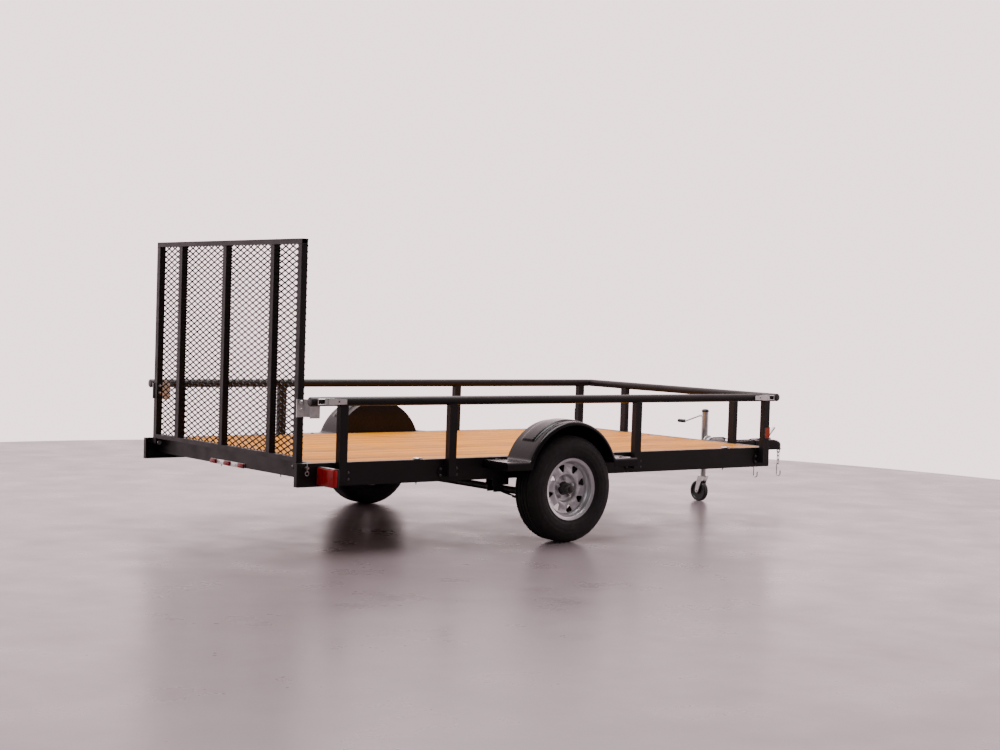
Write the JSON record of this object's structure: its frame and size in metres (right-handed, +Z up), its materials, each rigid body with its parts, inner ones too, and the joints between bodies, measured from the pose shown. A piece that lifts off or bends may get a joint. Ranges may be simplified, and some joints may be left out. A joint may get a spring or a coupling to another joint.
{
  "type": "utility trailer",
  "caption": "Single-axle open utility trailer with a plank deck, tube side rails, a mesh ramp gate, sheet fenders, a ball coupler and a swivelling tongue jack with a caster.",
  "frame": {"origin": "on the floor, midway along the overall length and on the centre line", "axes": "+X to the coupler, +Y to the trailer's left side, +Z up"},
  "size_m": [4.74, 2.282, 1.695],
  "materials": {
    "frame_paint": "satin black powder coat",
    "gloss_black_paint": "gloss black paint",
    "running_gear_paint": "dull black chassis paint",
    "deck_wood": "planed pine planks",
    "zinc_plate": "bright zinc plate",
    "red_lens": "moulded red lens",
    "cast_lever": "grey painted pressed steel",
    "black_plastic": "moulded black plastic",
    "cable_jacket": "black PVC cable jacket",
    "caster_plastic": "moulded black nylon",
    "tyre_rubber": "black trailer tyre",
    "wheel_paint": "silver wheel paint",
    "hub_steel": "grey painted hub"
  },
  "bodies": {
    "chassis": {"side_channel_left": "frame_paint", "side_channel_right": "frame_paint", "front_beam": "frame_paint", "rear_beam": "frame_paint", "cross_members": "frame_paint", "tongue": "frame_paint", "deck_boards": "deck_wood", "side_posts_left": "frame_paint", "side_posts_right": "frame_paint", "front_posts": "frame_paint", "post_plates_left": "frame_paint", "post_plates_right": "frame_paint", "post_plates_front": "frame_paint", "top_rail_left": "frame_paint", "top_rail_right": "frame_paint", "top_rail_front": "frame_paint", "rail_latches": "zinc_plate", "fender_left": "gloss_black_paint", "fender_right": "gloss_black_paint", "axle": "running_gear_paint", "leaf_spring_left": "running_gear_paint", "leaf_spring_right": "running_gear_paint", "spring_hangers": "running_gear_paint", "spring_shackles": "running_gear_paint", "axle_clamps": "running_gear_paint", "tail_light_left": "red_lens", "tail_light_right": "red_lens", "light_brackets": "frame_paint", "id_lights": "red_lens", "reflectors": "red_lens", "tie_down_loops": "zinc_plate", "gate_hinge_pins": "zinc_plate", "hairpin_clips": "zinc_plate", "coupler": "gloss_black_paint", "coupler_lever": "cast_lever", "safety_chains": "zinc_plate", "jack_bracket": "zinc_plate", "wiring": "cable_jacket"},
    "gate": {"gate_uprights": "frame_paint", "gate_top_rail": "frame_paint", "gate_bottom_rail": "frame_paint", "gate_mesh": "frame_paint", "gate_latch_plates": "zinc_plate"},
    "jack": {"jack_tube": "zinc_plate", "jack_cap": "black_plastic", "jack_crank": "zinc_plate"},
    "jack_inner": {"jack_leg": "zinc_plate"},
    "caster": {"caster_fork": "zinc_plate"},
    "caster_roller": {"caster_wheel": "caster_plastic"},
    "wheel_left": {"tyre_left": "tyre_rubber", "rim_left": "wheel_paint", "hub_left": "hub_steel"},
    "wheel_right": {"tyre_right": "tyre_rubber", "rim_right": "wheel_paint", "hub_right": "hub_steel"}
  },
  "joints": [
    {"name": "gate_hinge", "type": "hinge", "parent": "chassis", "child": "gate", "pos_m": [-2.32, 0, 0.474], "axis": [0, -1, 0], "range_deg": [0, 111]},
    {"name": "wheel_left_spin", "type": "hinge", "parent": "chassis", "child": "wheel_left", "pos_m": [-0.63, 1.04, 0.313], "axis": [0, 1, 0], "continuous": true},
    {"name": "wheel_right_spin", "type": "hinge", "parent": "chassis", "child": "wheel_right", "pos_m": [-0.63, -1.04, 0.313], "axis": [0, 1, 0], "continuous": true},
    {"name": "jack_swivel", "type": "hinge", "parent": "chassis", "child": "jack", "pos_m": [1.74, 0.12, 0.44], "axis": [0, -1, 0], "range_deg": [0, 90]},
    {"name": "jack_screw", "type": "slide", "parent": "jack", "child": "jack_inner", "axis": [0, 0, 1], "range_m": [0, 0.15]},
    {"name": "caster_swivel", "type": "hinge", "parent": "jack_inner", "child": "caster", "pos_m": [1.74, 0.16, 0.185], "axis": [0, 0, 1], "continuous": true},
    {"name": "caster_spin", "type": "hinge", "parent": "caster", "child": "caster_roller", "pos_m": [1.74, 0.195, 0.075], "axis": [1, 0, 0], "continuous": true}
  ]
}
